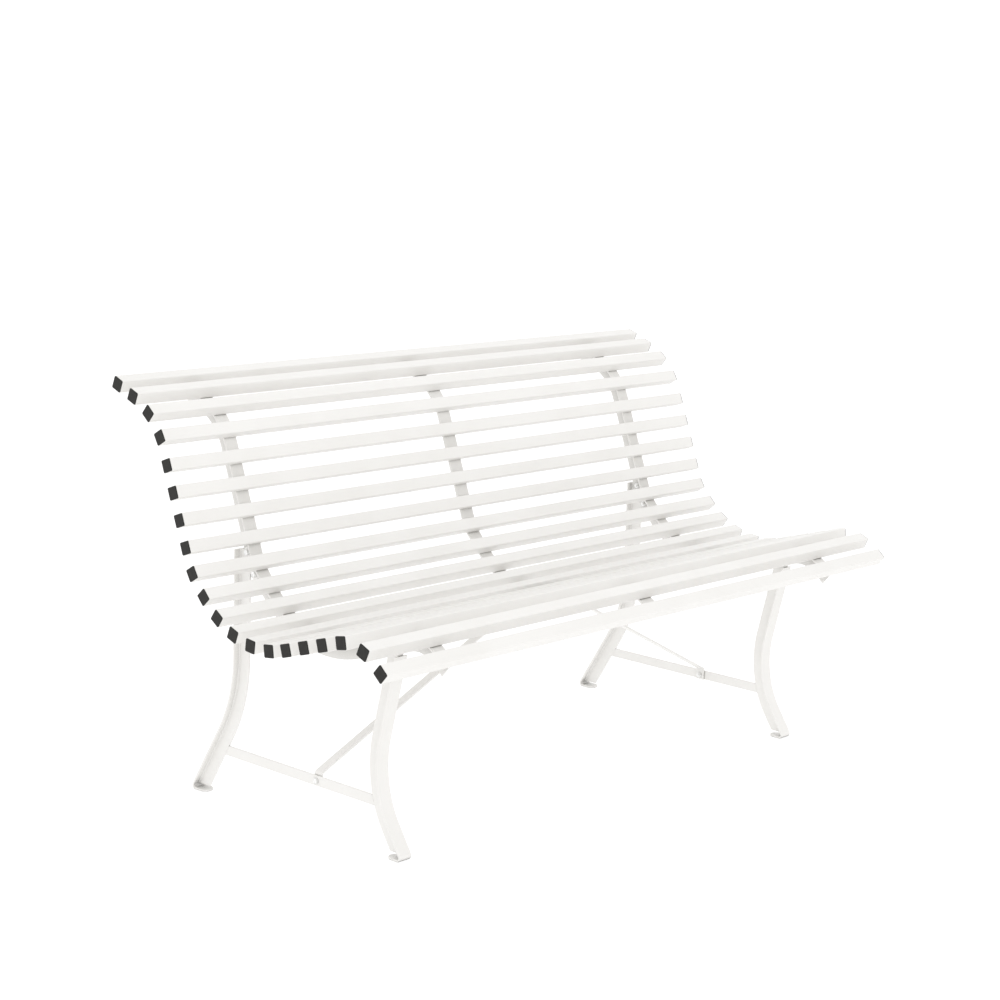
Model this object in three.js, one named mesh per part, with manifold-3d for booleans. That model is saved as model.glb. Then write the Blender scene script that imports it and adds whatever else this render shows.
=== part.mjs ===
// Garden bench: a slatted seat and back of square tubes on three bent ribs, four bent T-section
// legs, side stretchers and diagonal braces. Millimetres. +Z is up, +X runs along the bench and
// a sitter faces -Y. Z = 0 is the ground under the foot pads.
import * as THREE from "three";
import Module from "manifold-3d";

const wasm = await Module();
wasm.setup();

// ---- driving dimensions ----------------------------------------------------------------------
const BENCH_LENGTH = 1500;
const GAP = 0.3; // clearance left between pieces that touch
const OVERLAP = 1; // how far solids that are fused reach into each other
const SLAT = 25; // outside of the square tube
const SLAT_WALL = 1.5;
const SLAT_CORNER = 2.5; // outside corner radius of the tube
const BORE_CORNER = 1.5; // inside corner radius of the tube
const CAP_HEAD = 1.5; // how far an end cap stands out of its tube
const CAP_INSET = 0.4; // the cap head is this much smaller than the tube, all round
const CAP_PLUG = 14; // length of the plug inside the tube
const CAP_WALL = 1.6;
const CAP_CORNER = 1; // corner radius of the plug

const BAR = 4; // thickness of the rolled T bars and flat bars
const FLANGE = 30; // width of a T bar's flange
const MIDDLE_RIB = 35; // width of the middle rib, a flat bar
const LEG_DEPTH = 32; // a leg's T bar, from flange face to web edge
const RIB_DEPTH = 30; // a side rib's T bar
const RIB_X = 576.5; // the side ribs' webs
const LEG_X = RIB_X + BAR + GAP; // the legs' webs, bolted to the outside of the ribs' webs
const LUG_RADIUS = 11; // the round corners that widen a leg's web around its bolts

// The ribs' slat side, from the front edge of the seat to the top of the back.
const RIB_START = [-355.8, 381.3];
const RIB_HEADING = 41.3;
const RIB_LEAD = 9; // rib in front of the first slat's middle
const FRONT_ROLL_R = 198;
const FRONT_NOSE_R = 81;
const SEAT_FLAT = 150;
const SEAT_DIP_R = 220;
const LUMBAR_FLAT = 40;
const LUMBAR_R = 80;
const BACK_FLAT = 218;
const TOP_ROLL_R = 142;
const TOP_FLAT = 51.4;
const RIB_PATH = [
  { line: RIB_LEAD },
  { radius: FRONT_ROLL_R, turn: -11.3 },
  { radius: FRONT_NOSE_R, turn: -46.4 },
  { line: SEAT_FLAT },
  { radius: SEAT_DIP_R, turn: 62.9 },
  { line: LUMBAR_FLAT },
  { radius: LUMBAR_R, turn: 23 },
  { line: BACK_FLAT },
  { radius: TOP_ROLL_R, turn: -48.2 },
  { line: TOP_FLAT },
];
// Slat spacing along the ribs, front to top: nose and seat, dip, back, top roll.
const SLAT_SPACING = [
  { count: 6, pitch: 48.2 },
  { count: 5, pitch: 52.8 },
  { count: 5, pitch: 51.6 },
  { count: 3, pitch: 48.6 },
];

// A leg is drawn along its flange's outer face, from the middle of the foot pad's round end.
const FOOT_BEND_R = 8; // outside radius of the bend from leg to foot pad
const PAD_LENGTH = 15; // straight part of a foot pad
const FRONT_LEG = {
  padY: -237,
  heading: 180,
  inward: -1,
  foot: [{ line: PAD_LENGTH }, { radius: FOOT_BEND_R, turn: -123.4 }],
  shaft: [{ line: 58.5 }, { radius: 171, turn: 16.4 }, { radius: 213, turn: 30 }, { line: 190 }],
  flangeTop: 376, // the flange stops under the rib's web
  webTop: 398,
};
const REAR_LEG = {
  padY: 298,
  heading: 0,
  inward: 1,
  foot: [{ line: PAD_LENGTH }, { radius: FOOT_BEND_R, turn: 120.9 }],
  shaft: [{ line: 149 }, { radius: 292.4, turn: -30.9 }, { line: 290 }],
  flangeTop: 500,
  webTop: 500,
};
const WEB_FOOT_CUT = 11; // the webs stop this far above the ground

const STRETCHER_HEIGHT = 20;
const STRETCHER_Z = 95.2;
const WELD_GAP = 0.6; // along the stretcher, at its slanting ends

const BRACE_WIDTH = 20;
const BRACE_Y = -23; // the middle of a brace's foot
const BRACE_LEAN = 0.045; // a brace runs forward by this much of its run, to the seat's lowest part
const BRACE_FOOT_Z = STRETCHER_Z - STRETCHER_HEIGHT / 2;
const BRACE_FOOT = 26; // upright length of the foot that is bolted to the stretcher
const BRACE_BEND_R = 8; // outside radius of both bends
const BRACE_TAB = 72; // level length to the middle of the bench
const BRACE_X = LEG_X - BAR - GAP; // a brace's foot, on the inside of the stretcher

const BOLT_R = 3;
const HEX_R = 5.8; // across the corners of a bolt's head or nut, halved
const BOLT_HEAD = 4;
const NUT = 5;
const BOLT_TAIL = 3; // thread standing out of the nut
const HOLE_REACH = 1; // a hole's cutter passes this far out of the plates
const BOLT_FACETS = 16;
const PAD_FACETS = 12;
const LUG_FACETS = 8;
const SIDES = [-1, 1];
const STEP_DEG = 5; // facet angle of the bent bars

// ---- materials -------------------------------------------------------------------------------
function powderCoat() {
  return new THREE.MeshStandardMaterial({ color: 0xf1efea, roughness: 0.45, metalness: 0 });
}

function blackPlastic() {
  return new THREE.MeshStandardMaterial({ color: 0x2e2d2b, roughness: 0.55, metalness: 0 });
}

function zincSteel() {
  return new THREE.MeshStandardMaterial({ color: 0xb9bab8, roughness: 0.35, metalness: 0.9 });
}

// ---- solids ----------------------------------------------------------------------------------
function toManifold(geometry) {
  const flat = geometry.index ? geometry.toNonIndexed() : geometry;
  const position = flat.getAttribute("position");
  const mesh = new wasm.Mesh({
    numProp: 3,
    vertProperties: new Float32Array(position.array),
    triVerts: Uint32Array.from({ length: position.count }, (_, i) => i),
  });
  mesh.merge();
  return new wasm.Manifold(mesh);
}

function toGeometry(solid) {
  const mesh = solid.getMesh();
  const geometry = new THREE.BufferGeometry();
  geometry.setAttribute("position", new THREE.BufferAttribute(mesh.vertProperties, 3));
  geometry.setIndex(new THREE.BufferAttribute(mesh.triVerts, 1));
  return geometry;
}

function fuse(first, ...others) {
  return others.reduce((all, next) => all.add(next), first);
}

// An outline drawn in the side view (y, z), made solid between two X positions.
function sideSolid(outline, x0, x1, hole) {
  const shape = new THREE.Shape(outline);
  if (hole) shape.holes.push(new THREE.Path(hole));
  const geometry = new THREE.ExtrudeGeometry(shape, { depth: x1 - x0, bevelEnabled: false });
  const toRow = new THREE.Matrix4().makeBasis(
    new THREE.Vector3(0, 1, 0),
    new THREE.Vector3(0, 0, 1),
    new THREE.Vector3(1, 0, 0),
  );
  geometry.applyMatrix4(toRow);
  geometry.translate(x0, 0, 0);
  return toManifold(geometry);
}

// An outline drawn in the front view (x, z), made solid between two Y positions.
function frontSolid(outline, y0, y1) {
  const shape = new THREE.Shape(outline);
  const geometry = new THREE.ExtrudeGeometry(shape, { depth: y1 - y0, bevelEnabled: false });
  geometry.rotateX(Math.PI / 2);
  geometry.translate(0, y1, 0);
  return toManifold(geometry);
}

function box(x0, x1, y0, y1, z0, z1) {
  const geometry = new THREE.BoxGeometry(x1 - x0, y1 - y0, z1 - z0);
  geometry.translate((x0 + x1) / 2, (y0 + y1) / 2, (z0 + z1) / 2);
  return toManifold(geometry);
}

// Two distances from the bench's middle as an ordered pair of X positions on one side of it.
function span(side, near, far) {
  return side < 0 ? [-far, -near] : [near, far];
}

function roundBar(radius, x0, x1, y, z, sides) {
  const geometry = new THREE.CylinderGeometry(radius, radius, x1 - x0, sides);
  geometry.rotateZ(Math.PI / 2);
  geometry.translate((x0 + x1) / 2, y, z);
  return toManifold(geometry);
}

// ---- bent bars -------------------------------------------------------------------------------
// Walks a path of lines and arcs and calls visit(point, heading) at its start and after each step.
function walk(start, headingDeg, path, visit) {
  let [y, z] = start;
  let heading = THREE.MathUtils.degToRad(headingDeg);
  visit([y, z], heading);
  for (const part of path) {
    if (part.line) {
      y += part.line * Math.cos(heading);
      z += part.line * Math.sin(heading);
      visit([y, z], heading);
      continue;
    }
    const steps = Math.max(1, Math.round(Math.abs(part.turn) / STEP_DEG));
    const turn = THREE.MathUtils.degToRad(part.turn) / steps;
    const radius = part.radius * Math.sign(part.turn);
    for (let i = 0; i < steps; i += 1) {
      y += radius * (Math.sin(heading + turn) - Math.sin(heading));
      z -= radius * (Math.cos(heading + turn) - Math.cos(heading));
      heading += turn;
      visit([y, z], heading);
    }
  }
}

// The path's points moved sideways: a positive offset is to the left of travel.
function offsetPoints(start, headingDeg, path, offset) {
  const points = [];
  walk(start, headingDeg, path, ([y, z], heading) => {
    points.push(new THREE.Vector2(y - offset * Math.sin(heading), z + offset * Math.cos(heading)));
  });
  return points;
}

// The outline of a strip that lies between two offsets of a path.
function strip(start, headingDeg, path, from, to) {
  const near = offsetPoints(start, headingDeg, path, from);
  const far = offsetPoints(start, headingDeg, path, to);
  return near.concat(far.reverse());
}

// The place and heading at a distance along a path.
function along(start, headingDeg, path, distance) {
  let left = distance;
  const cut = [];
  for (const part of path) {
    const length = part.line ?? THREE.MathUtils.degToRad(Math.abs(part.turn)) * part.radius;
    if (left <= length) {
      cut.push(part.line ? { line: left } : { ...part, turn: (part.turn * left) / length });
      break;
    }
    cut.push(part);
    left -= length;
  }
  let place = null;
  walk(start, headingDeg, cut, (point, heading) => {
    const last = cut[cut.length - 1];
    place = { point, heading, curvature: last.radius ? Math.sign(last.turn) / last.radius : 0 };
  });
  return place;
}

// ---- pieces ----------------------------------------------------------------------------------
function ribFlange(x, width) {
  const outline = strip(RIB_START, RIB_HEADING, RIB_PATH, 0, -BAR);
  return sideSolid(outline, x - width / 2, x + width / 2);
}

function sideRib(side) {
  const x = side * RIB_X;
  const web = strip(RIB_START, RIB_HEADING, RIB_PATH, -BAR / 2, -RIB_DEPTH);
  return fuse(ribFlange(x, FLANGE), sideSolid(web, x - BAR / 2, x + BAR / 2));
}

function middleRib() {
  return ribFlange(0, MIDDLE_RIB);
}

// A leg's T bar: the flange runs on past the web and turns under it as a round-ended foot pad.
function leg(x, { padY, heading, inward, foot, shaft, flangeTop, webTop }, bolts) {
  const start = [padY, 0];
  let bendEnd = start;
  let rise = 0;
  walk(start, heading, foot, (point, at) => {
    bendEnd = point;
    rise = THREE.MathUtils.radToDeg(at);
  });
  const flangeStrip = strip(start, heading, foot.concat(shaft), 0, inward * BAR);
  const webStrip = strip(bendEnd, rise, shaft, (inward * BAR) / 2, inward * LEG_DEPTH);
  const far = BENCH_LENGTH;
  const flange = sideSolid(flangeStrip, x - FLANGE / 2, x + FLANGE / 2)
    .intersect(box(-far, far, -far, far, -far, flangeTop));
  const web = sideSolid(webStrip, x - BAR / 2, x + BAR / 2)
    .intersect(box(-far, far, -far, far, WEB_FOOT_CUT, webTop));
  return fuse(flange, web, padEnd(x, padY, inward), lug(x, bolts));
}

// The part of a leg's web that is widened around its bolts: a round-ended plate.
function lug(x, bolts) {
  const first = bolts[0];
  const last = bolts[bolts.length - 1];
  const across = Math.atan2(last.z - first.z, last.y - first.y) + Math.PI / 2;
  const shape = new THREE.Shape();
  shape.absarc(first.y, first.z, LUG_RADIUS, across, across + Math.PI, false);
  shape.absarc(last.y, last.z, LUG_RADIUS, across + Math.PI, across + 2 * Math.PI, false);
  const outline = shape.extractPoints(LUG_FACETS).shape;
  return sideSolid(outline, x - BAR / 2, x + BAR / 2);
}

// The half-round end of a foot pad, which points the way the leg's web does.
function padEnd(x, y, inward) {
  const radius = FLANGE / 2;
  const shape = new THREE.Shape();
  shape.absarc(0, 0, radius, Math.PI, 2 * Math.PI, false);
  shape.lineTo(radius, OVERLAP);
  shape.lineTo(-radius, OVERLAP);
  const geometry = new THREE.ExtrudeGeometry(shape, {
    depth: BAR,
    bevelEnabled: false,
    curveSegments: PAD_FACETS,
  });
  if (inward < 0) geometry.rotateZ(Math.PI);
  geometry.translate(x, y, 0);
  return toManifold(geometry);
}

// The Y position of the free edge of a leg's web at a height.
function webEdgeY({ padY, heading, inward, foot, shaft }, z) {
  const edge = offsetPoints([padY, 0], heading, foot.concat(shaft), inward * LEG_DEPTH);
  const next = edge.findIndex((point, i) => i > foot.length && point.y > z);
  const [low, high] = [edge[next - 1], edge[next]];
  return low.x + ((high.x - low.x) * (z - low.y)) / (high.y - low.y);
}

// A stretcher lies in the plane of the legs' webs, and its ends are cut to fit their edges.
function stretcher(side) {
  const low = STRETCHER_Z - STRETCHER_HEIGHT / 2;
  const high = STRETCHER_Z + STRETCHER_HEIGHT / 2;
  const outline = [
    new THREE.Vector2(webEdgeY(FRONT_LEG, low) + WELD_GAP, low),
    new THREE.Vector2(webEdgeY(REAR_LEG, low) - WELD_GAP, low),
    new THREE.Vector2(webEdgeY(REAR_LEG, high) - WELD_GAP, high),
    new THREE.Vector2(webEdgeY(FRONT_LEG, high) + WELD_GAP, high),
  ];
  return sideSolid(outline, ...span(side, LEG_X - BAR / 2, LEG_X + BAR / 2));
}

// The lowest height of the middle rib's underside.
function ribUnderside() {
  let lowest = Infinity;
  walk(RIB_START, RIB_HEADING, RIB_PATH, ([y, z]) => {
    if (y > RIB_START[0] + SEAT_FLAT) lowest = Math.min(lowest, z - BAR);
  });
  return lowest;
}

// A flat bar from the middle of a stretcher up to the middle rib, bent at both ends. It is
// drawn along its outer face in the front view, then leaned forward towards the middle.
function brace(side) {
  const footX = -BRACE_X - BAR / 2;
  const bendZ = BRACE_FOOT_Z + BRACE_FOOT;
  const tabZ = ribUnderside() - GAP;
  const run = -BRACE_TAB - footX;
  const slope = Math.atan2(tabZ - bendZ, run);
  const footTangent = BRACE_BEND_R * Math.tan((Math.PI / 2 - slope) / 2);
  const tabTangent = BRACE_BEND_R * Math.tan(slope / 2);
  const slopeDeg = THREE.MathUtils.radToDeg(slope);
  const path = [
    { line: BRACE_FOOT - footTangent },
    { radius: BRACE_BEND_R, turn: slopeDeg - 90 },
    { line: run / Math.cos(slope) - footTangent - tabTangent },
    { radius: BRACE_BEND_R, turn: -slopeDeg },
    { line: BRACE_TAB - tabTangent - GAP },
  ];
  const outline = strip([footX, BRACE_FOOT_Z], 90, path, 0, -BAR);
  const bar = frontSolid(outline, BRACE_Y - BRACE_WIDTH / 2, BRACE_Y + BRACE_WIDTH / 2)
    .transform(leanForward(footX));
  return side < 0 ? bar : bar.mirror([1, 0, 0]);
}

// Moves each point forward by BRACE_LEAN of its distance from the foot.
function leanForward(footX) {
  const lean = new THREE.Matrix4().set(
    1, 0, 0, 0,
    -BRACE_LEAN, 1, 0, BRACE_LEAN * footX,
    0, 0, 1, 0,
    0, 0, 0, 1,
  );
  return lean.toArray();
}

// A square outline with rounded corners, about a centre and turned to a heading.
function roundedSquare(half, corner, centre, heading) {
  const points = [];
  const inner = half - corner;
  for (let quarter = 0; quarter < 4; quarter += 1) {
    const middle = quarter * 90 + 45;
    const cx = inner * Math.sign(Math.cos(THREE.MathUtils.degToRad(middle)));
    const cy = inner * Math.sign(Math.sin(THREE.MathUtils.degToRad(middle)));
    for (const swing of [-45, -15, 15, 45]) {
      const angle = THREE.MathUtils.degToRad(middle + swing);
      points.push(new THREE.Vector2(cx + corner * Math.cos(angle), cy + corner * Math.sin(angle)));
    }
  }
  const origin = new THREE.Vector2(0, 0);
  const offset = new THREE.Vector2(centre[0], centre[1]);
  return points.map((p) => p.rotateAround(origin, heading).add(offset));
}

// The middle of each slat and its heading, front to top.
function slatPlaces() {
  const distances = [RIB_LEAD];
  for (const zone of SLAT_SPACING) {
    for (let i = 0; i < zone.count; i += 1) {
      distances.push(distances[distances.length - 1] + zone.pitch);
    }
  }
  return distances.map((distance) => {
    const { point, heading, curvature } = along(RIB_START, RIB_HEADING, RIB_PATH, distance);
    const hollow = (Math.max(0, curvature) * SLAT * SLAT) / 8;
    const lift = SLAT / 2 + GAP + hollow;
    const centre = [point[0] - lift * Math.sin(heading), point[1] + lift * Math.cos(heading)];
    return { centre, heading };
  });
}

const TUBE_END = BENCH_LENGTH / 2 - CAP_HEAD;

// A slat: an open square tube at -X, with its +X end closed by its plug.
function slat({ centre, heading }) {
  const outside = roundedSquare(SLAT / 2, SLAT_CORNER, centre, heading);
  const bore = roundedSquare(SLAT / 2 - SLAT_WALL, BORE_CORNER, centre, heading);
  const tube = sideSolid(outside, GAP - TUBE_END, TUBE_END, bore);
  const head = roundedSquare(SLAT / 2 - CAP_INSET, SLAT_CORNER, centre, heading);
  const plug = sideSolid(head, TUBE_END - SLAT_WALL, BENCH_LENGTH / 2);
  return fuse(tube, plug);
}

// An end cap: a flat head and a hollow plug that sits inside the tube.
function endCap({ centre, heading }) {
  const head = roundedSquare(SLAT / 2 - CAP_INSET, SLAT_CORNER, centre, heading);
  const plugHalf = SLAT / 2 - SLAT_WALL - GAP;
  const outside = roundedSquare(plugHalf, CAP_CORNER, centre, heading);
  const inside = roundedSquare(plugHalf - CAP_WALL, CAP_CORNER, centre, heading);
  return fuse(
    sideSolid(head, -BENCH_LENGTH / 2, -TUBE_END),
    sideSolid(outside, -TUBE_END - OVERLAP, CAP_PLUG - TUBE_END, inside),
  );
}

// ---- fasteners -------------------------------------------------------------------------------
// Each joint is bolted along X, from the inner face of a rib's web or a brace's foot out through
// the leg's web or the stretcher. The hex head is on the outside; the nut is one body with it.
const RIB_INNER = RIB_X - BAR / 2;
const LEG_OUTER = LEG_X + BAR / 2;
const BRACE_INNER = BRACE_X - BAR / 2;
const JOINTS = {
  upper: { name: "bolt_back_upper", y: 178, z: 496, inner: RIB_INNER },
  lower: { name: "bolt_back_lower", y: 157, z: 457.5, inner: RIB_INNER },
  front: { name: "bolt_seat_front", y: -226, z: 388.5, inner: RIB_INNER },
  stretcher: { name: "bolt_stretcher", y: BRACE_Y, z: STRETCHER_Z, inner: BRACE_INNER },
};
const ALL_JOINTS = Object.values(JOINTS);

function bolt(side, { y, z, inner }) {
  const seat = LEG_OUTER + GAP;
  const head = roundBar(HEX_R, ...span(side, seat, seat + BOLT_HEAD), y, z, 6);
  const nut = roundBar(HEX_R, ...span(side, inner - GAP - NUT, inner - GAP), y, z, 6);
  const tail = inner - GAP - NUT - BOLT_TAIL;
  const shank = roundBar(BOLT_R, ...span(side, tail, seat + OVERLAP), y, z, BOLT_FACETS);
  return fuse(head, nut, shank);
}

// Cuts the clearance hole of each joint that passes through a plate.
function drilled(solid, side) {
  return ALL_JOINTS.reduce((left, { y, z, inner }) => {
    const ends = span(side, inner - HOLE_REACH, LEG_OUTER + HOLE_REACH);
    return left.subtract(roundBar(BOLT_R + GAP, ...ends, y, z, BOLT_FACETS));
  }, solid);
}

// ---- assembly --------------------------------------------------------------------------------
const bench = new THREE.Group();

function addNode(name, solid, material) {
  const mesh = new THREE.Mesh(toGeometry(solid), material);
  mesh.name = name;
  bench.add(mesh);
}

function label(index) {
  return String(index + 1).padStart(2, "0");
}

const places = slatPlaces();
places.forEach((place, i) => addNode("slat_" + label(i), slat(place), powderCoat()));
places.forEach((place, i) => addNode("end_cap_" + label(i), endCap(place), blackPlastic()));
addNode("rib_middle", middleRib(), powderCoat());
for (const side of SIDES) {
  const hand = side < 0 ? "left" : "right";
  addNode("rib_" + hand, drilled(sideRib(side), side), powderCoat());
  const frontLeg = leg(side * LEG_X, FRONT_LEG, [JOINTS.front]);
  const rearLeg = leg(side * LEG_X, REAR_LEG, [JOINTS.lower, JOINTS.upper]);
  addNode("front_leg_" + hand, drilled(frontLeg, side), powderCoat());
  addNode("rear_leg_" + hand, drilled(rearLeg, side), powderCoat());
  addNode("stretcher_" + hand, drilled(stretcher(side), side), powderCoat());
  addNode("brace_" + hand, drilled(brace(side), side), powderCoat());
  ALL_JOINTS.forEach((joint) => addNode(joint.name + "_" + hand, bolt(side, joint), zincSteel()));
}

export default bench;
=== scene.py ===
"""A slatted garden bench: square tubes with end caps on bent ribs, T-section legs with stretchers
and braces, bolts and welds. Lengths in the constants are millimetres; the objects are metres."""
import math

import bmesh
import bpy
from mathutils import Matrix, Vector


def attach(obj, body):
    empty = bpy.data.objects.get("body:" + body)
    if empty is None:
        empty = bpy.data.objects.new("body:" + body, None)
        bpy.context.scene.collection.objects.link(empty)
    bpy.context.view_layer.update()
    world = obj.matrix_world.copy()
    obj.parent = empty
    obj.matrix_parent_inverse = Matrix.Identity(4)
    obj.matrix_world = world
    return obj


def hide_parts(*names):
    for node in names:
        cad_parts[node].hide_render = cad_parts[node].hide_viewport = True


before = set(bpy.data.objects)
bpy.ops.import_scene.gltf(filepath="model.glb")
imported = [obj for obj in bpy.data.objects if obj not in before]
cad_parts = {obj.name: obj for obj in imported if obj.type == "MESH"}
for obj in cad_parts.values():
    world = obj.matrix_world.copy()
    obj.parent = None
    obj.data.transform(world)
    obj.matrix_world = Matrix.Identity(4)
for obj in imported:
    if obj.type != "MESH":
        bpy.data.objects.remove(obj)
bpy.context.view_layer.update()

MM = 0.001

# ---- the bench's dimensions, the same as the CAD model's ---------------------------------------
BENCH_LENGTH = 1500
GAP = 0.3  # clearance between pieces that touch
SLAT = 25
SLAT_WALL = 1.5
SLAT_CORNER = 2.5
SLAT_INNER_CORNER = 1.5
CAP_HEAD = 1.5
CAP_INSET = 0.4  # how far a cap's head lies inside the tube's outline
PLUG_LENGTH = 14
PLUG_WALL = 1.6
PLUG_ROOT = 1  # how far a plug runs into its head
PLUG_CORNER = 1
PLUG_INNER_CORNER = 0.6
BAR = 4
FLANGE = 30
MIDDLE_RIB = 35
LEG_DEPTH = 32
RIB_DEPTH = 30
RIB_X = 576.5
LEG_X = RIB_X + BAR + GAP
LUG_RADIUS = 11

# Paths are (length, 0) for a line and (radius, turn in degrees) for an arc, in the side view.
RIB_START = (-355.8, 381.3)
RIB_HEADING = 41.3
RIB_LEAD = 9  # along the rib to the middle of the first slat
RIB_PATH = [(9, 0), (198, -11.3), (81, -46.4), (150, 0), (220, 62.9), (40, 0), (80, 23), (218, 0),
            (142, -48.2), (51.4, 0)]
SLAT_SPACING = [(6, 48.2), (5, 52.8), (5, 51.6), (3, 48.6)]  # (number, pitch) from the front
SEAT_DIP_FROM = 150  # the rib's lowest place is further than this behind its start
FOOT_BEND_R = 8
PAD_LENGTH = 15
# A leg's path runs up from pad_y on the ground; inward is 1 if its web is on the left of it.
FRONT_LEG = {
    "pad_y": -237, "heading": 180, "inward": -1,
    "foot": [(PAD_LENGTH, 0), (FOOT_BEND_R, -123.4)],
    "shaft": [(58.5, 0), (171, 16.4), (213, 30), (190, 0)],
    "flange_top": 376, "web_top": 398,
}
REAR_LEG = {
    "pad_y": 298, "heading": 0, "inward": 1,
    "foot": [(PAD_LENGTH, 0), (FOOT_BEND_R, 120.9)],
    "shaft": [(149, 0), (292.4, -30.9), (290, 0)],
    "flange_top": 500, "web_top": 500,
}
WEB_FOOT_CUT = 11  # height at which a leg's web ends
STRETCHER_HEIGHT = 20
STRETCHER_Z = 95.2
WELD_GAP = 0.6
BRACE_WIDTH = 20
BRACE_Y = -23
BRACE_LEAN = 0.045  # forward, for each unit towards the middle
BRACE_FOOT = 26  # height of the upright foot
BRACE_BEND_R = 8
BRACE_TAB = 72  # length of the level tab under the middle rib
BRACE_X = LEG_X - BAR - GAP
BOLT_R = 3
HEX_R = 5.8
BOLT_HEAD = 4
NUT = 5
BOLT_TAIL = 3
SIDES = {"left": -1, "right": 1}

# ---- finishing details --------------------------------------------------------------------------
ARC_STEP = 2.5  # degrees between the rings of a bent bar
BRACE_ARC_STEP = 6
CORNER_STEPS = 3
TUBE_CORNER_STEPS = 6
BAR_EDGE_R = 0.9  # rounded edges of rolled bar
BAR_EDGE_SHARE = 0.6  # the most of a narrow bar's half width that a rounded edge takes
ROOT_R = 3  # fillet between a T bar's flange and web
CUT_EDGE = 0.35  # broken edge where a bar is sawn off
CUT_ANGLE = 50  # degrees: edges sharper than this are broken
LEG_CUT_ANGLE = 60
STRETCHER_EDGE_STEPS = 3
SMOOTH_ANGLE = 38  # degrees: edges sharper than this are shaded as edges
CAP_EDGE = 0.6  # rounded edge of a cap's face
CAP_EDGE_STEPS = 3
CAP_FACE_INSET = 1.5  # ring on a cap's face that keeps its shading flat
CAP_FACE_CORNER_CUT = 0.5

# ---- materials ----------------------------------------------------------------------------------
PAINT = (0.800, 0.789, 0.768, 1)
PAINT_THIN = (0.778, 0.766, 0.742, 1)
PLASTIC = (0.012, 0.0116, 0.0102, 1)
PLASTIC_SCUFFED = (0.027, 0.026, 0.023, 1)
CREASE_PAINTED_SHADE = (0.008, (0.40, 0.39, 0.36), 0.70)  # painted shade in creases: reach in metres, darkest tint, open share that is left unshaded
WEB_PAINTED_SHADE = (0.060, (0.22, 0.21, 0.185), 0.95)  # painted shade as above, deeper and wider, for the ribs' webs in the shade behind the slats
LEG_PAINTED_SHADE = (0.022, (0.08, 0.075, 0.065), 0.55)  # painted shade as above, darker, for the legs' corners and the parts behind the slats
ZINC = (0.90, 0.90, 0.89, 1)
ZINC_DULL = (0.74, 0.74, 0.73, 1)
NOISE_SPAN = (0.3, 0.7)  # where most of a noise texture's values lie
PAINTED_SHADE_FULL = 0.08  # open share at which the painted shade has its darkest tint
PAINTED_SHADE_SAMPLES = 6


def new_material(name):
    """A material, its node tree, its shader and the object's own coordinates."""
    material = bpy.data.materials.new(name)
    material.use_nodes = True
    tree = material.node_tree
    shader = tree.nodes["Principled BSDF"]
    coords = tree.nodes.new("ShaderNodeTexCoord")
    return material, tree, shader, coords.outputs["Object"]


def add_noise(tree, vector, scale, detail, roughness=0.5):
    noise = tree.nodes.new("ShaderNodeTexNoise")
    noise.inputs["Scale"].default_value = scale
    noise.inputs["Detail"].default_value = detail
    noise.inputs["Roughness"].default_value = roughness
    tree.links.new(vector, noise.inputs["Vector"])
    return noise.outputs["Fac"]


def add_ramp(tree, value, low, high, low_colour, high_colour):
    """A blend from the low colour, up to the value low, to the high colour, from high on."""
    ramp = tree.nodes.new("ShaderNodeValToRGB")
    first, last = ramp.color_ramp.elements
    first.position, first.color = low, low_colour
    last.position, last.color = high, high_colour
    tree.links.new(value, ramp.inputs["Fac"])
    return ramp.outputs["Color"]


def add_range(tree, value, low, high):
    """A noise value spread between low and high."""
    spread = tree.nodes.new("ShaderNodeMapRange")
    spread.inputs["From Min"].default_value, spread.inputs["From Max"].default_value = NOISE_SPAN
    spread.inputs["To Min"].default_value = low
    spread.inputs["To Max"].default_value = high
    tree.links.new(value, spread.inputs["Value"])
    return spread.outputs["Result"]


def add_bump(tree, shader, height, strength, distance):
    bump = tree.nodes.new("ShaderNodeBump")
    bump.inputs["Strength"].default_value = strength
    bump.inputs["Distance"].default_value = distance
    tree.links.new(height, bump.inputs["Height"])
    tree.links.new(bump.outputs["Normal"], shader.inputs["Normal"])


def add_painted_shade(tree, colour, reach, darkest, unshaded_share):
    """The colour with painted shade: darker where less than a given share of the space within a
    reach is open.
    """
    occlusion = tree.nodes.new("ShaderNodeAmbientOcclusion")
    occlusion.samples = PAINTED_SHADE_SAMPLES
    occlusion.inputs["Distance"].default_value = reach
    openness = occlusion.outputs["AO"]
    shade = add_ramp(tree, openness, PAINTED_SHADE_FULL, unshaded_share, (*darkest, 1), (1, 1, 1, 1))
    mix = tree.nodes.new("ShaderNodeMixRGB")
    mix.blend_type = "MULTIPLY"
    mix.inputs["Fac"].default_value = 1
    tree.links.new(colour, mix.inputs["Color1"])
    tree.links.new(shade, mix.inputs["Color2"])
    return mix.outputs["Color"]


def powder_coat(name, reach, darkest, unshaded_share):
    """Satin off-white powder coat: slightly uneven in tone and gloss, with a fine orange peel and
    painted shade in its creases.
    """
    material, tree, shader, place = new_material(name)
    tone = add_noise(tree, place, scale=9, detail=4)
    colour = add_ramp(tree, tone, 0.30, 0.62, PAINT_THIN, PAINT)
    # painted shade: the colour is darkened in creases and corners
    shaded_colour = add_painted_shade(tree, colour, reach, darkest, unshaded_share)
    tree.links.new(shaded_colour, shader.inputs["Base Color"])
    flow = add_noise(tree, place, scale=45, detail=3)
    gloss = add_range(tree, flow, low=0.38, high=0.50)
    tree.links.new(gloss, shader.inputs["Roughness"])
    orange_peel = add_noise(tree, place, scale=900, detail=2)
    add_bump(tree, shader, orange_peel, strength=0.12, distance=0.0004)
    shader.inputs["Specular IOR Level"].default_value = 0.45
    return material


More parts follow.
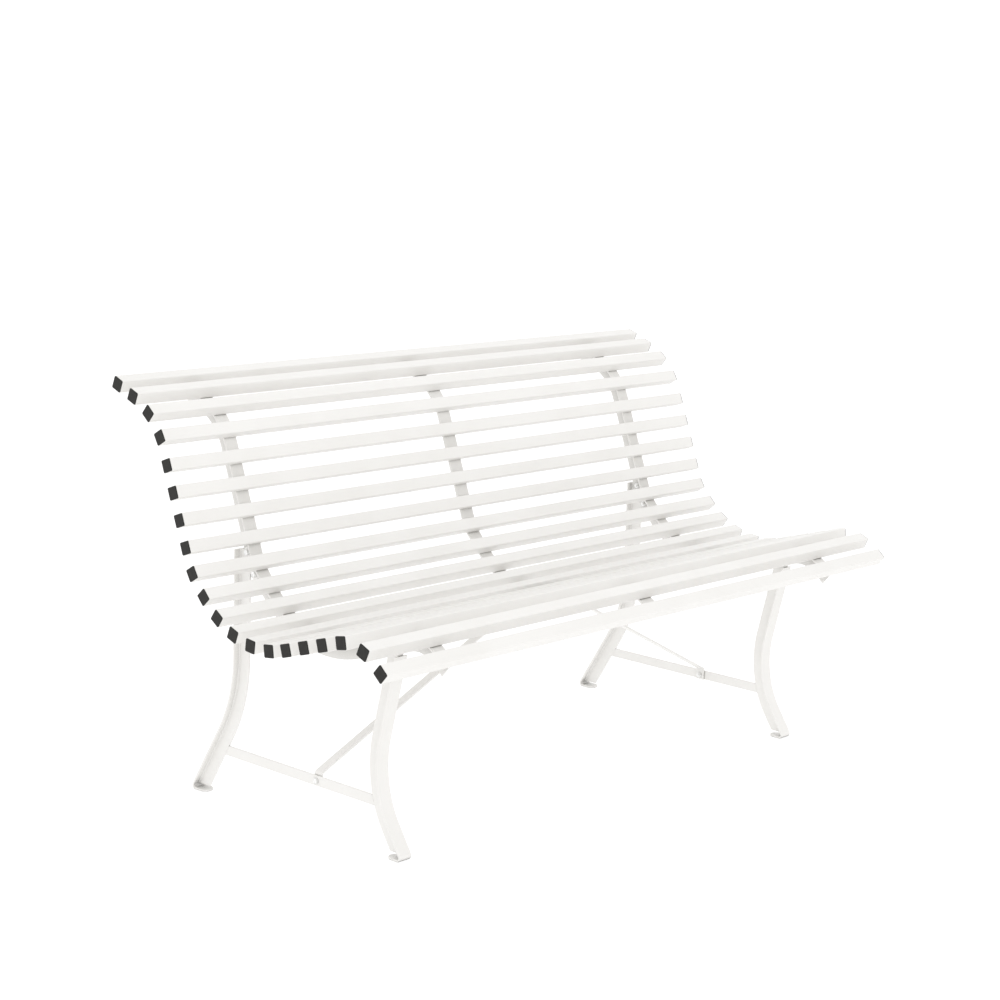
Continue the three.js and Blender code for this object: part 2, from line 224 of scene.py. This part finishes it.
def black_plastic():
    """Moulded black plastic: fine spark-eroded grain and light scuffing."""
    material, tree, shader, place = new_material("black_plastic")
    scuffs = add_noise(tree, place, scale=130, detail=5, roughness=0.65)
    colour = add_ramp(tree, scuffs, 0.45, 0.72, PLASTIC, PLASTIC_SCUFFED)
    tree.links.new(colour, shader.inputs["Base Color"])
    gloss = add_range(tree, scuffs, low=0.48, high=0.66)
    tree.links.new(gloss, shader.inputs["Roughness"])
    grain = add_noise(tree, place, scale=1600, detail=3)
    add_bump(tree, shader, grain, strength=0.25, distance=0.0003)
    shader.inputs["Specular IOR Level"].default_value = 0.3
    return material


def zinc_steel():
    """Bright zinc plating: mottled grey, duller in patches."""
    material, tree, shader, place = new_material("zinc_steel")
    patches = add_noise(tree, place, scale=260, detail=5, roughness=0.6)
    colour = add_ramp(tree, patches, 0.35, 0.65, ZINC_DULL, ZINC)
    tree.links.new(colour, shader.inputs["Base Color"])
    gloss = add_range(tree, patches, low=0.42, high=0.28)
    tree.links.new(gloss, shader.inputs["Roughness"])
    spangle = add_noise(tree, place, scale=1400, detail=3)
    add_bump(tree, shader, spangle, strength=0.15, distance=0.0002)
    shader.inputs["Metallic"].default_value = 0.9
    return material


# The powder coat has painted shade darkening its creases.
FINISHES = {
    "powder_coat": powder_coat("powder_coat", *CREASE_PAINTED_SHADE),
    "end_plastic": black_plastic(),
    "zinc": zinc_steel(),
}
# Copies of the powder coat with deeper painted shade: for the ribs' webs and for the legs.
WEB_SHADED_FINISH = powder_coat("powder_coat_web_painted_shade", *WEB_PAINTED_SHADE)
LEG_SHADED_FINISH = powder_coat("powder_coat_leg_painted_shade", *LEG_PAINTED_SHADE)


# ---- paths and outlines -------------------------------------------------------------------------
def walk(start, heading_deg, path, step=ARC_STEP):
    """(p, q, heading) at the start of a path and after each line and each step of an arc."""
    p, q = start
    heading = math.radians(heading_deg)
    stations = [(p, q, heading)]
    for size, turn_deg in path:
        if not turn_deg:
            p += size * math.cos(heading)
            q += size * math.sin(heading)
            stations.append((p, q, heading))
            continue
        steps = max(1, round(abs(turn_deg) / step))
        turn = math.radians(turn_deg) / steps
        radius = math.copysign(size, turn)
        for _ in range(steps):
            p += radius * (math.sin(heading + turn) - math.sin(heading))
            q -= radius * (math.cos(heading + turn) - math.cos(heading))
            heading += turn
            stations.append((p, q, heading))
    return stations


def along(start, heading_deg, path, distance):
    """(p, q, heading, curvature) at a distance along a path."""
    cut = []
    for size, turn in path:
        length = math.radians(abs(turn)) * size if turn else size
        share = min(1, distance / length)
        cut.append((size, turn * share) if turn else (size * share, 0))
        distance -= length
        if distance <= 0:
            break
    size, turn = cut[-1]
    p, q, heading = walk(start, heading_deg, cut)[-1]
    return p, q, heading, math.copysign(1 / size, turn) if turn else 0


def rounded(corners, steps=CORNER_STEPS):
    """An outline of (x, n, radius) corners with each corner turned into an arc."""
    outline = []
    count = len(corners)
    for i, (x, n, radius) in enumerate(corners):
        corner = Vector((x, n))
        if not radius:
            outline.append(corner)
            continue
        back = (Vector(corners[i - 1][:2]) - corner).normalized()
        ahead = (Vector(corners[(i + 1) % count][:2]) - corner).normalized()
        half = back.angle(ahead) / 2
        centre = corner + (back + ahead).normalized() * radius / math.sin(half)
        reach = radius / math.tan(half)
        first = corner + back * reach - centre
        last = corner + ahead * reach - centre
        swing = math.atan2(first.cross(last), first.dot(last))
        for k in range(steps + 1):
            outline.append(centre + Matrix.Rotation(swing * k / steps, 2) @ first)
    return [(point.x, point.y) for point in outline]


def bar_section(width, near, far):
    """A flat bar's outline, from near to far in thickness."""
    half = width / 2
    radius = min(BAR_EDGE_R, half * BAR_EDGE_SHARE)
    return rounded([(-half, near, radius), (half, near, radius),
                    (half, far, radius), (-half, far, radius)])


def square_section(side, radius):
    """A square outline with round corners."""
    half = side / 2
    return rounded([(-half, -half, radius), (half, -half, radius),
                    (half, half, radius), (-half, half, radius)], TUBE_CORNER_STEPS)


# ---- mesh building ------------------------------------------------------------------------------
def skin(bm, rings, closed=False):
    """Joins each ring of points to the next, and the last to the first or closes both ends."""
    for ring, following in zip(rings, rings[1:] + (rings[:1] if closed else [])):
        for k in range(len(ring)):
            j = (k + 1) % len(ring)
            bm.faces.new((ring[k], ring[j], following[j], following[k]))
    if not closed:
        bm.faces.new(rings[0][::-1])
        bm.faces.new(rings[-1])


def sweep(bm, stations, sections, place):
    """A solid through a section at each station, with place giving each point's position."""
    rings = []
    for station, section in zip(stations, sections):
        rings.append([bm.verts.new(place(*station, *point) * MM) for point in section])
    skin(bm, rings)


def side_bar(bm, stations, sections, middle):
    """A bar drawn in the side view: n is to the left of travel and x is across."""
    def place(p, q, heading, x, n):
        return Vector((middle + x, p - n * math.sin(heading), q + n * math.cos(heading)))
    sweep(bm, stations, sections, place)


def prism(bm, outline, x0, x1):
    """A (y, z) outline made solid between two X positions."""
    skin(bm, [[bm.verts.new(Vector((x, y, z)) * MM) for y, z in outline] for x in (x0, x1)])


def slice_off(bm, height, keep_above):
    """Cuts a solid level at a height and closes the cut."""
    normal = Vector((0, 0, 1 if keep_above else -1))
    cut = bmesh.ops.bisect_plane(
        bm, geom=bm.verts[:] + bm.edges[:] + bm.faces[:], dist=1e-7,
        plane_co=Vector((0, 0, height * MM)), plane_no=normal, clear_inner=True)
    edges = [item for item in cut["geom_cut"] if isinstance(item, bmesh.types.BMEdge)]
    bmesh.ops.edgeloop_fill(bm, edges=edges)


def soften(bm, width, angle_deg=CUT_ANGLE, segments=2):
    """Rounds the edges that are sharper than an angle."""
    bm.normal_update()
    sharp = [e for e in bm.edges
             if len(e.link_faces) == 2 and e.calc_face_angle() > math.radians(angle_deg)]
    bmesh.ops.bevel(bm, geom=sharp, offset=width * MM, segments=segments, profile=0.5,
                    affect="EDGES", clamp_overlap=True)


def join(target, source):
    """Adds a finished solid to another mesh."""
    mesh = bpy.data.meshes.new("part")
    source.to_mesh(mesh)
    source.free()
    target.from_mesh(mesh)
    bpy.data.meshes.remove(mesh)


def finish_piece(bm, name, slot, *stands_for):
    """Makes the object, with its finish, and puts it on the bench's one body."""
    bmesh.ops.recalc_face_normals(bm, faces=bm.faces[:])
    mesh = bpy.data.meshes.new(name)
    bm.to_mesh(mesh)
    bm.free()
    mesh.shade_smooth()
    mesh.set_sharp_from_angle(angle=math.radians(SMOOTH_ANGLE))
    mesh.materials.append(FINISHES[slot])
    piece = bpy.data.objects.new(name, mesh)
    bpy.context.scene.collection.objects.link(piece)
    weighted = piece.modifiers.new("even_shading", "WEIGHTED_NORMAL")
    weighted.keep_sharp = True
    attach(piece, "root")
    if stands_for:
        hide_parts(*stands_for)
    return piece


# ---- slats and their caps -----------------------------------------------------------------------
TUBE_END = BENCH_LENGTH / 2 - CAP_HEAD


def slat_places():
    """(y, z, heading) of each slat's middle; in a hollow a slat rests on its corners."""
    distances = [RIB_LEAD]
    for count, pitch in SLAT_SPACING:
        for _ in range(count):
            distances.append(distances[-1] + pitch)
    places = []
    for distance in distances:
        y, z, heading, curvature = along(RIB_START, RIB_HEADING, RIB_PATH, distance)
        lift = SLAT / 2 + GAP + max(0, curvature) * SLAT * SLAT / 8
        places.append((y - lift * math.sin(heading), z + lift * math.cos(heading), heading))
    return places


def ring_at(bm, x, centre, section):
    """A ring of points at an X position, its section turned to the centre's heading."""
    y, z, heading = centre
    cos, sin = math.cos(heading), math.sin(heading)
    return [bm.verts.new(Vector((x, y + a * cos - b * sin, z + a * sin + b * cos)) * MM)
            for a, b in section]


def lathe_rings(bm, centre, rings, closed=False):
    """Joins rings (x, section) along X; the ends are closed unless the rings run round."""
    skin(bm, [ring_at(bm, x, centre, section) for x, section in rings], closed)


def make_slat(centre, label):
    """A hollow square tube, open at both ends, with its sawn edges broken."""
    outside = square_section(SLAT, SLAT_CORNER)
    eased = square_section(SLAT - 2 * CUT_EDGE, SLAT_CORNER - CUT_EDGE)
    inside = square_section(SLAT - 2 * SLAT_WALL, SLAT_INNER_CORNER)
    end = TUBE_END - GAP
    bm = bmesh.new()
    lathe_rings(bm, centre, [
        (-end, inside), (-end, eased), (CUT_EDGE - end, outside), (end - CUT_EDGE, outside),
        (end, eased), (end, inside),
    ], closed=True)
    finish_piece(bm, "tube_" + label, "powder_coat", "slat_" + label)


def make_cap(centre, label, hand):
    """A moulded end cap: a head with a rounded face edge and a hollow plug inside the tube."""
    side = SIDES[hand]
    head = SLAT - 2 * CAP_INSET
    plug = SLAT - 2 * SLAT_WALL - 2 * GAP
    rings = [(BENCH_LENGTH / 2 - CAP_HEAD, square_section(head, SLAT_CORNER))]
    for k in range(CAP_EDGE_STEPS + 1):
        swing = math.radians(90 * k / CAP_EDGE_STEPS)
        shrink = CAP_EDGE * (1 - math.cos(swing))
        x = BENCH_LENGTH / 2 - CAP_EDGE * (1 - math.sin(swing))
        rings.append((x, square_section(head - 2 * shrink, SLAT_CORNER - shrink)))
    face = square_section(head - 2 * CAP_EDGE - 2 * CAP_FACE_INSET,
                          SLAT_CORNER - CAP_EDGE - CAP_FACE_CORNER_CUT)
    rings.append((BENCH_LENGTH / 2, face))
    bm = bmesh.new()
    lathe_rings(bm, centre, [(side * x, section) for x, section in rings])
    inner = bmesh.new()
    outer_wall = square_section(plug, PLUG_CORNER)
    inner_wall = square_section(plug - 2 * PLUG_WALL, PLUG_INNER_CORNER)
    root = side * (TUBE_END + PLUG_ROOT)
    tip = side * (TUBE_END - PLUG_LENGTH)
    lathe_rings(inner, centre, [
        (root, outer_wall), (tip, outer_wall), (tip, inner_wall), (root, inner_wall),
    ], closed=True)
    join(bm, inner)
    stands_for = ["end_cap_" + label] if side < 0 else []
    finish_piece(bm, "cap_" + hand + "_" + label, "end_plastic", *stands_for)


# ---- ribs ---------------------------------------------------------------------------------------
RIB_STATIONS = walk(RIB_START, RIB_HEADING, RIB_PATH)
FLAT_SECTION = bar_section(MIDDLE_RIB, 0, -BAR)
T_SECTION = rounded([
    (-FLANGE / 2, 0, BAR_EDGE_R), (FLANGE / 2, 0, BAR_EDGE_R), (FLANGE / 2, -BAR, BAR_EDGE_R),
    (BAR / 2, -BAR, ROOT_R), (BAR / 2, -RIB_DEPTH, BAR_EDGE_R),
    (-BAR / 2, -RIB_DEPTH, BAR_EDGE_R), (-BAR / 2, -BAR, ROOT_R), (-FLANGE / 2, -BAR, BAR_EDGE_R),
])
UPRIGHT = 0.9  # the side of a web faces at least this much along X


def make_rib(name, x, section):
    """A bent rib, with deeper painted shade on the sides of its web."""
    bm = bmesh.new()
    side_bar(bm, RIB_STATIONS, [section] * len(RIB_STATIONS), x)
    soften(bm, CUT_EDGE)
    bm.normal_update()
    # the upright sides of the web take the copy with deeper painted shade
    for face in bm.faces:
        upright = abs(face.normal.x) > UPRIGHT
        inboard = abs(face.calc_center_median().x - x * MM) < BAR * MM
        face.material_index = int(upright and inboard)
    piece = finish_piece(bm, name.replace("rib", "bar_rib"), "powder_coat", name)
    piece.data.materials.append(WEB_SHADED_FINISH)


# ---- weld beads ---------------------------------------------------------------------------------
BEAD_R = 1.9  # across a slat
BEAD_LENGTH = 22
BEAD_STEPS = 11
BEAD_BACK = 0.6  # a bead's middle from the slat's far side
BEAD_RISE = 0.4  # and above its underside
SMALL_BEAD_R = 1.5  # at the ends of stretchers and braces
SMALL_BEAD_INSET = 0.6  # from the stretcher's faces
SMALL_BEAD_END = 1  # from the stretcher's edges
TAB_BEAD_START = 2  # from the bench's middle
TAB_BEAD_LENGTH = 12
TAB_BEAD_STEPS = 7
TAB_BEAD_DROP = 0.3  # below the tab's top
BEAD_FACETS = 8
BEAD_RIPPLE = 0.14
BEAD_RUN_OUT = 0.4  # steps beyond its end rings at which a bead would come to nothing
BEAD_TIP = 0.02  # keeps the ends of a bead from being narrower than a seventh of it


def bead(bm, points, radius):
    """A weld bead along a line of points, rippled and drawn in at its ends."""
    rings = []
    last = len(points) - 1
    for i, point in enumerate(points):
        ahead = points[min(i + 1, last)] - points[max(i - 1, 0)]
        turn = ahead.to_track_quat("Z", "Y")
        swell = math.sin(math.pi * (i + BEAD_RUN_OUT) / (last + 2 * BEAD_RUN_OUT))
        ripple = 1 + BEAD_RIPPLE * math.cos(math.pi * i)
        size = radius * math.sqrt(max(BEAD_TIP, swell)) * ripple
        ring = []
        for k in range(BEAD_FACETS):
            angle = 2 * math.pi * k / BEAD_FACETS
            offset = turn @ Vector((math.cos(angle) * size, math.sin(angle) * size, 0))
            ring.append(bm.verts.new((point + offset) * MM))
        rings.append(ring)
    skin(bm, rings)


def straight(start, end, steps=BEAD_STEPS):
    """The points of a straight line from start to end."""
    return [Vector(start).lerp(Vector(end), i / steps) for i in range(steps + 1)]


def make_slat_welds(name, middle, places):
    """A bead on each slat, in the groove between the tube's far lower corner and the rib."""
    bm = bmesh.new()
    for y, z, heading in places:
        ahead = Vector((0, math.cos(heading), math.sin(heading)))
        up = Vector((0, -math.sin(heading), math.cos(heading)))
        groove = Vector((middle, y, z))
        groove = groove + ahead * (SLAT / 2 - BEAD_BACK) - up * (SLAT / 2 - BEAD_RISE)
        across = Vector((BEAD_LENGTH / 2, 0, 0))
        bead(bm, straight(groove - across, groove + across), BEAD_R)
    finish_piece(bm, name, "powder_coat")


# ---- legs ---------------------------------------------------------------------------------------
PAD_FACETS = 10
PAD_SWING = 85  # degrees of the quarter circle that a pad's round end follows
WEB_SPREAD = 2  # beyond the fillets, where a web is let into its flange
WEB_SINK = 0.5
LUG_FACETS = 14
LUG_EDGE = 0.6
LUG_STEP = 0.15  # a lug is this much thinner than its web, on each face


def leg_stations(leg):
    """The flange's stations and widths, from the tip of the round pad end to the top."""
    heading = math.radians(leg["heading"])
    stations = []
    widths = []
    half = FLANGE / 2
    for k in range(PAD_FACETS):
        swing = math.radians(PAD_SWING - PAD_SWING * k / PAD_FACETS)
        y = leg["pad_y"] - math.cos(heading) * half * math.sin(swing)
        stations.append((y, 0, heading))
        widths.append(FLANGE * math.cos(swing))
    path = walk((leg["pad_y"], 0), leg["heading"], leg["foot"] + leg["shaft"])
    return stations + path, widths + [FLANGE] * len(path)


def make_leg(name, x, leg, bolts):
    """A leg: the flange and its foot pad, the web behind it, and the lug around its bolts."""
    inward = leg["inward"]
    stations, widths = leg_stations(leg)
    near, far = sorted((0, inward * BAR))
    bm = bmesh.new()
    side_bar(bm, stations, [bar_section(width, near, far) for width in widths], x)
    slice_off(bm, leg["flange_top"], False)
    soften(bm, CUT_EDGE, LEG_CUT_ANGLE)

    foot = walk((leg["pad_y"], 0), leg["heading"], leg["foot"])[-1]
    shaft = walk(foot[:2], math.degrees(foot[2]), leg["shaft"])
    spread = BAR / 2 + ROOT_R + WEB_SPREAD
    web = rounded([
        (-spread, inward * (BAR - WEB_SINK), 0), (spread, inward * (BAR - WEB_SINK), 0),
        (BAR / 2, inward * BAR, ROOT_R), (BAR / 2, inward * LEG_DEPTH, BAR_EDGE_R),
        (-BAR / 2, inward * LEG_DEPTH, BAR_EDGE_R), (-BAR / 2, inward * BAR, ROOT_R),
    ])
    plate = bmesh.new()
    side_bar(plate, shaft, [web] * len(shaft), x)
    slice_off(plate, leg["web_top"], False)
    slice_off(plate, WEB_FOOT_CUT, True)
    soften(plate, CUT_EDGE, LEG_CUT_ANGLE)
    join(bm, plate)

    lug = bmesh.new()
    prism(lug, lug_outline(bolts), x - BAR / 2 + LUG_STEP, x + BAR / 2 - LUG_STEP)
    soften(lug, LUG_EDGE)
    join(bm, lug)
    piece = finish_piece(bm, name, "powder_coat", name.replace("bar_", ""))
    # the leg takes the copy of the powder coat with deeper painted shade
    piece.data.materials[0] = LEG_SHADED_FINISH


def lug_outline(bolts):
    """The round-ended part of a leg's web around its bolts."""
    (y0, z0), (y1, z1) = bolts[0], bolts[-1]
    across = math.atan2(z1 - z0, y1 - y0) + math.pi / 2
    outline = []
    for (y, z), first in (((y0, z0), across), ((y1, z1), across + math.pi)):
        for k in range(LUG_FACETS + (len(bolts) > 1)):
            angle = first + math.pi * k / LUG_FACETS
            outline.append((y + LUG_RADIUS * math.cos(angle), z + LUG_RADIUS * math.sin(angle)))
    return outline


# ---- stretchers and braces ----------------------------------------------------------------------
def web_edge(leg, z):
    """The Y position of the free edge of a leg's web at a height."""
    depth = leg["inward"] * LEG_DEPTH
    path = walk((leg["pad_y"], 0), leg["heading"], leg["foot"] + leg["shaft"])[len(leg["foot"]):]
    edge = [(y - depth * math.sin(h), q + depth * math.cos(h)) for y, q, h in path]
    for (y0, z0), (y1, z1) in zip(edge, edge[1:]):
        if z0 <= z <= z1:
            return y0 + (y1 - y0) * (z - z0) / (z1 - z0)
    return edge[-1][0]


STRETCHER_LOW = STRETCHER_Z - STRETCHER_HEIGHT / 2
STRETCHER_HIGH = STRETCHER_Z + STRETCHER_HEIGHT / 2


def make_stretcher(hand):
    """A flat bar between the legs' webs, with a bead along each face at each end."""
    outline = [
        (web_edge(FRONT_LEG, STRETCHER_LOW) + WELD_GAP, STRETCHER_LOW),
        (web_edge(REAR_LEG, STRETCHER_LOW) - WELD_GAP, STRETCHER_LOW),
        (web_edge(REAR_LEG, STRETCHER_HIGH) - WELD_GAP, STRETCHER_HIGH),
        (web_edge(FRONT_LEG, STRETCHER_HIGH) + WELD_GAP, STRETCHER_HIGH),
    ]
    side = SIDES[hand]
    bm = bmesh.new()
    prism(bm, outline, side * (LEG_X - BAR / 2), side * (LEG_X + BAR / 2))
    soften(bm, BAR_EDGE_R, segments=STRETCHER_EDGE_STEPS)
    finish_piece(bm, "bar_stretcher_" + hand, "powder_coat", "stretcher_" + hand)

    welds = bmesh.new()
    low = STRETCHER_LOW + SMALL_BEAD_END
    high = STRETCHER_HIGH - SMALL_BEAD_END
    for leg, middle in ((FRONT_LEG, WELD_GAP / 2), (REAR_LEG, -WELD_GAP / 2)):
        for x in (LEG_X - BAR / 2 + SMALL_BEAD_INSET, LEG_X + BAR / 2 - SMALL_BEAD_INSET):
            ends = [(side * x, web_edge(leg, z) + middle, z) for z in (low, high)]
            bead(welds, straight(*ends), SMALL_BEAD_R)
    finish_piece(welds, "welds_stretcher_" + hand, "powder_coat")


# The braces are drawn in the front view, as the left one.
BRACE_FOOT_X = -BRACE_X - BAR / 2
SEAT_DIP_Z = min(z for y, z, heading in RIB_STATIONS if y > RIB_START[0] + SEAT_DIP_FROM)
BRACE_TAB_Z = SEAT_DIP_Z - BAR - GAP


def make_brace(hand):
    """A flat bar: an upright foot, a slope leaned forward towards the middle, and a level tab."""
    side = SIDES[hand]

    def place(p, q, heading, across, n):
        x = p - n * math.sin(heading)
        y = BRACE_Y + across - BRACE_LEAN * (x - BRACE_FOOT_X)
        return Vector((-side * x, y, q + n * math.cos(heading)))

    bend_z = STRETCHER_LOW + BRACE_FOOT
    run = -BRACE_TAB - BRACE_FOOT_X
    slope = math.atan2(BRACE_TAB_Z - bend_z, run)
    foot_tangent = BRACE_BEND_R * math.tan((math.pi / 2 - slope) / 2)
    tab_tangent = BRACE_BEND_R * math.tan(slope / 2)
    path = [
        (BRACE_FOOT - foot_tangent, 0),
        (BRACE_BEND_R, math.degrees(slope) - 90),
        (run / math.cos(slope) - foot_tangent - tab_tangent, 0),
        (BRACE_BEND_R, -math.degrees(slope)),
        (BRACE_TAB - tab_tangent - GAP, 0),
    ]
    stations = walk((BRACE_FOOT_X, STRETCHER_LOW), 90, path, BRACE_ARC_STEP)
    section = bar_section(BRACE_WIDTH, 0, -BAR)
    bm = bmesh.new()
    sweep(bm, stations, [section] * len(stations), place)
    soften(bm, CUT_EDGE)
    finish_piece(bm, "bar_brace_" + hand, "powder_coat", "brace_" + hand)


def make_brace_welds():
    """Beads along the braces' tabs, on both sides, where they meet the middle rib."""
    bm = bmesh.new()
    middle_y = BRACE_Y + BRACE_LEAN * BRACE_FOOT_X
    for way in (-1, 1):
        for side in (-1, 1):
            y = middle_y + way * BRACE_WIDTH / 2
            start = Vector((side * TAB_BEAD_START, y, BRACE_TAB_Z - TAB_BEAD_DROP))
            end = start + Vector((side * TAB_BEAD_LENGTH, 0, 0))
            bead(bm, straight(start, end, TAB_BEAD_STEPS), SMALL_BEAD_R)
    finish_piece(bm, "welds_braces", "powder_coat")


# ---- bolts --------------------------------------------------------------------------------------
RIB_INNER = RIB_X - BAR / 2
LEG_OUTER = LEG_X + BAR / 2
BRACE_INNER = BRACE_X - BAR / 2
BOLTS = {  # (y, z, X of the face that the nut sits on)
    "bolt_back_upper": (178, 496, RIB_INNER),
    "bolt_back_lower": (157, 457.5, RIB_INNER),
    "bolt_seat_front": (-226, 388.5, RIB_INNER),
    "bolt_stretcher": (BRACE_Y, STRETCHER_Z, BRACE_INNER),
}
BOLT_FACETS = 48
SHANK_R = BOLT_R - 0.15
SHANK_INTO_HEAD = 0.5
SHANK_INTO_NUT = 0.4
THREAD_INTO_NUT = 1
THREAD_PITCH = 1
THREAD_CREST_R = BOLT_R - 0.05
THREAD_DEPTH = 0.4
THREAD_EASE = 0.1  # how far a groove's floor lies past the start of its turn
WASHER_R = 6.1
WASHER = 0.8
WASHER_EDGE = 0.15
HEX_SIXTH = math.pi / 3
HEX_FLATS = HEX_R * math.cos(HEX_SIXTH / 2)
# The turned corners of a head or nut: (distance back from its far face, radius there).
HEX_CHAMFER = [(0.9, HEX_R), (0.6, HEX_R - 0.2), (0.3, HEX_FLATS + 0.1), (0, HEX_FLATS - 0.4)]


def hex_reach(angle):
    """The distance from a hexagon's centre to its side, in a direction."""
    return HEX_FLATS / math.cos((angle % HEX_SIXTH) - HEX_SIXTH / 2)


def turned(bm, centre, rings):
    """A solid of rings (x, radius or radius function) about an axis along X."""
    made = []
    for x, reach in rings:
        ring = []
        for k in range(BOLT_FACETS):
            angle = 2 * math.pi * k / BOLT_FACETS
            r = reach(angle) if callable(reach) else reach
            ring.append((r * math.cos(angle), r * math.sin(angle)))
        made.append((x, ring))
    lathe_rings(bm, (*centre, 0), made)


def washer_rings(side, start, end):
    """The rings of a washer with a broken outer edge on its far face."""
    edge = end - math.copysign(WASHER_EDGE, end - start)
    return [(side * start, WASHER_R), (side * edge, WASHER_R), (side * end, WASHER_R - WASHER_EDGE)]


def hex_rings(start, end):
    """The rings of a hexagon from one X to another, the far face's corners turned off."""
    way = math.copysign(1, end - start)
    rings = [(start, hex_reach)]
    for back, limit in HEX_CHAMFER:
        rings.append((end - way * back, lambda angle, limit=limit: min(limit, hex_reach(angle))))
    return rings


def make_bolt(name, hand):
    """A bolt with its washers and nut, its head outward and its thread past the nut."""
    y, z, inner = BOLTS[name]
    side = SIDES[hand]
    centre = (y, z)
    seat = LEG_OUTER + GAP
    back = inner - GAP
    tail = back - NUT
    bm = bmesh.new()
    turned(bm, centre, washer_rings(side, seat, seat + WASHER))
    turned(bm, centre, hex_rings(side * (seat + WASHER), side * (seat + BOLT_HEAD)))
    turned(bm, centre, washer_rings(side, back, back - WASHER))
    turned(bm, centre, hex_rings(side * (back - WASHER), side * tail))
    turned(bm, centre, [(side * (seat + SHANK_INTO_HEAD), SHANK_R),
                        (side * (tail + SHANK_INTO_NUT), SHANK_R)])
    thread = [(side * (tail + THREAD_INTO_NUT), SHANK_R)]
    for k in range(int(BOLT_TAIL / THREAD_PITCH)):
        x = tail - k * THREAD_PITCH
        thread.append((side * (x - THREAD_EASE), BOLT_R - THREAD_DEPTH))
        thread.append((side * (x - THREAD_PITCH / 2), THREAD_CREST_R))
    thread.append((side * (tail - BOLT_TAIL + THREAD_EASE), BOLT_R - THREAD_DEPTH))
    thread.append((side * (tail - BOLT_TAIL), BOLT_R - 2 * THREAD_DEPTH))
    turned(bm, centre, thread)
    finish_piece(bm, name.replace("bolt", "fastener") + "_" + hand, "zinc", name + "_" + hand)


# ---- assembly -----------------------------------------------------------------------------------
places = slat_places()
for index, centre in enumerate(places):
    label = f"{index + 1:02d}"
    make_slat(centre, label)
    for hand in SIDES:
        make_cap(centre, label, hand)

make_rib("rib_middle", 0, FLAT_SECTION)
make_slat_welds("welds_rib_middle", 0, places)
for hand, side in SIDES.items():
    make_rib("rib_" + hand, side * RIB_X, T_SECTION)
    make_slat_welds("welds_rib_" + hand, side * RIB_X, places)
    front = [BOLTS["bolt_seat_front"][:2]]
    rear = [BOLTS["bolt_back_lower"][:2], BOLTS["bolt_back_upper"][:2]]
    make_leg("bar_front_leg_" + hand, side * LEG_X, FRONT_LEG, front)
    make_leg("bar_rear_leg_" + hand, side * LEG_X, REAR_LEG, rear)
    make_stretcher(hand)
    make_brace(hand)
    for bolt in BOLTS:
        make_bolt(bolt, hand)
make_brace_welds()

# ---- camera -------------------------------------------------------------------------------------
CAMERA_AT = Vector((-3.28426, -2.95173, 1.37439))  # metres
CAMERA_YAW = 47.371  # from +Y towards +X
CAMERA_PITCH = 10.567  # downward
CAMERA_ROLL = 1.74
CAMERA_LENS = 80.13
CAMERA_SHIFT = (0.0003, 0.0015)


def make_camera():
    """The camera, at its viewpoint and tilted by its roll."""
    yaw, pitch, roll = (math.radians(a) for a in (CAMERA_YAW, CAMERA_PITCH, CAMERA_ROLL))
    level = math.cos(pitch)
    look = Vector((math.sin(yaw) * level, math.cos(yaw) * level, -math.sin(pitch)))
    right = look.cross(Vector((0, 0, 1))).normalized()
    up = right.cross(look)
    tilted = right * math.cos(roll) + up * math.sin(roll)
    upright = up * math.cos(roll) - right * math.sin(roll)
    camera = bpy.data.objects.new("camera", bpy.data.cameras.new("camera"))
    camera.data.lens = CAMERA_LENS
    camera.data.shift_x, camera.data.shift_y = CAMERA_SHIFT
    axes = Matrix((tilted, upright, -look)).transposed().to_4x4()
    camera.matrix_world = Matrix.Translation(CAMERA_AT) @ axes
    bpy.context.scene.collection.objects.link(camera)
    bpy.context.scene.camera = camera


# ---- floor and light, in metres and watts -------------------------------------------------------
FLOOR_SIZE = 60
FLOOR_COLOUR = (0.30, 0.30, 0.30, 1)
FLOOR_ROUGHNESS = 0.9
FLOOR_GLOW = 0.86
SKY = 1.14
KEY_AT = Vector((-2.6, -3.0, 3.4))
KEY_AIM = Vector((0, 0, 0.4))
KEY_SIZE = 2.2
KEY_POWER = 8


def make_floor():
    """A plain pale floor that stays white under the bench."""
    mesh = bpy.data.meshes.new("floor")
    half = FLOOR_SIZE / 2
    corners = [(-half, -half, 0), (half, -half, 0), (half, half, 0), (-half, half, 0)]
    mesh.from_pydata(corners, [], [(0, 1, 2, 3)])
    material, tree, shader, _ = new_material("floor")
    shader.inputs["Base Color"].default_value = FLOOR_COLOUR
    shader.inputs["Roughness"].default_value = FLOOR_ROUGHNESS
    shader.inputs["Specular IOR Level"].default_value = 0
    shader.inputs["Emission Color"].default_value = (1, 1, 1, 1)
    shader.inputs["Emission Strength"].default_value = FLOOR_GLOW
    mesh.materials.append(material)
    floor = bpy.data.objects.new("floor", mesh)
    bpy.context.scene.collection.objects.link(floor)


def make_key_light():
    """A soft round light from the front left."""
    light = bpy.data.lights.new("key", "AREA")
    light.shape = "DISK"
    light.size = KEY_SIZE
    light.energy = KEY_POWER
    lamp = bpy.data.objects.new("key", light)
    lamp.location = KEY_AT
    lamp.rotation_mode = "QUATERNION"
    lamp.rotation_quaternion = (KEY_AIM - KEY_AT).to_track_quat("-Z", "Y")
    bpy.context.scene.collection.objects.link(lamp)


def make_sky():
    """Even white light from all round."""
    world = bpy.data.worlds.new("studio")
    world.use_nodes = True
    background = world.node_tree.nodes["Background"]
    background.inputs["Color"].default_value = (1, 1, 1, 1)
    background.inputs["Strength"].default_value = SKY
    bpy.context.scene.world = world


make_camera()
make_floor()
make_sky()
make_key_light()

scene = bpy.context.scene
scene.view_settings.view_transform = "Standard"
scene.view_settings.look = "None"
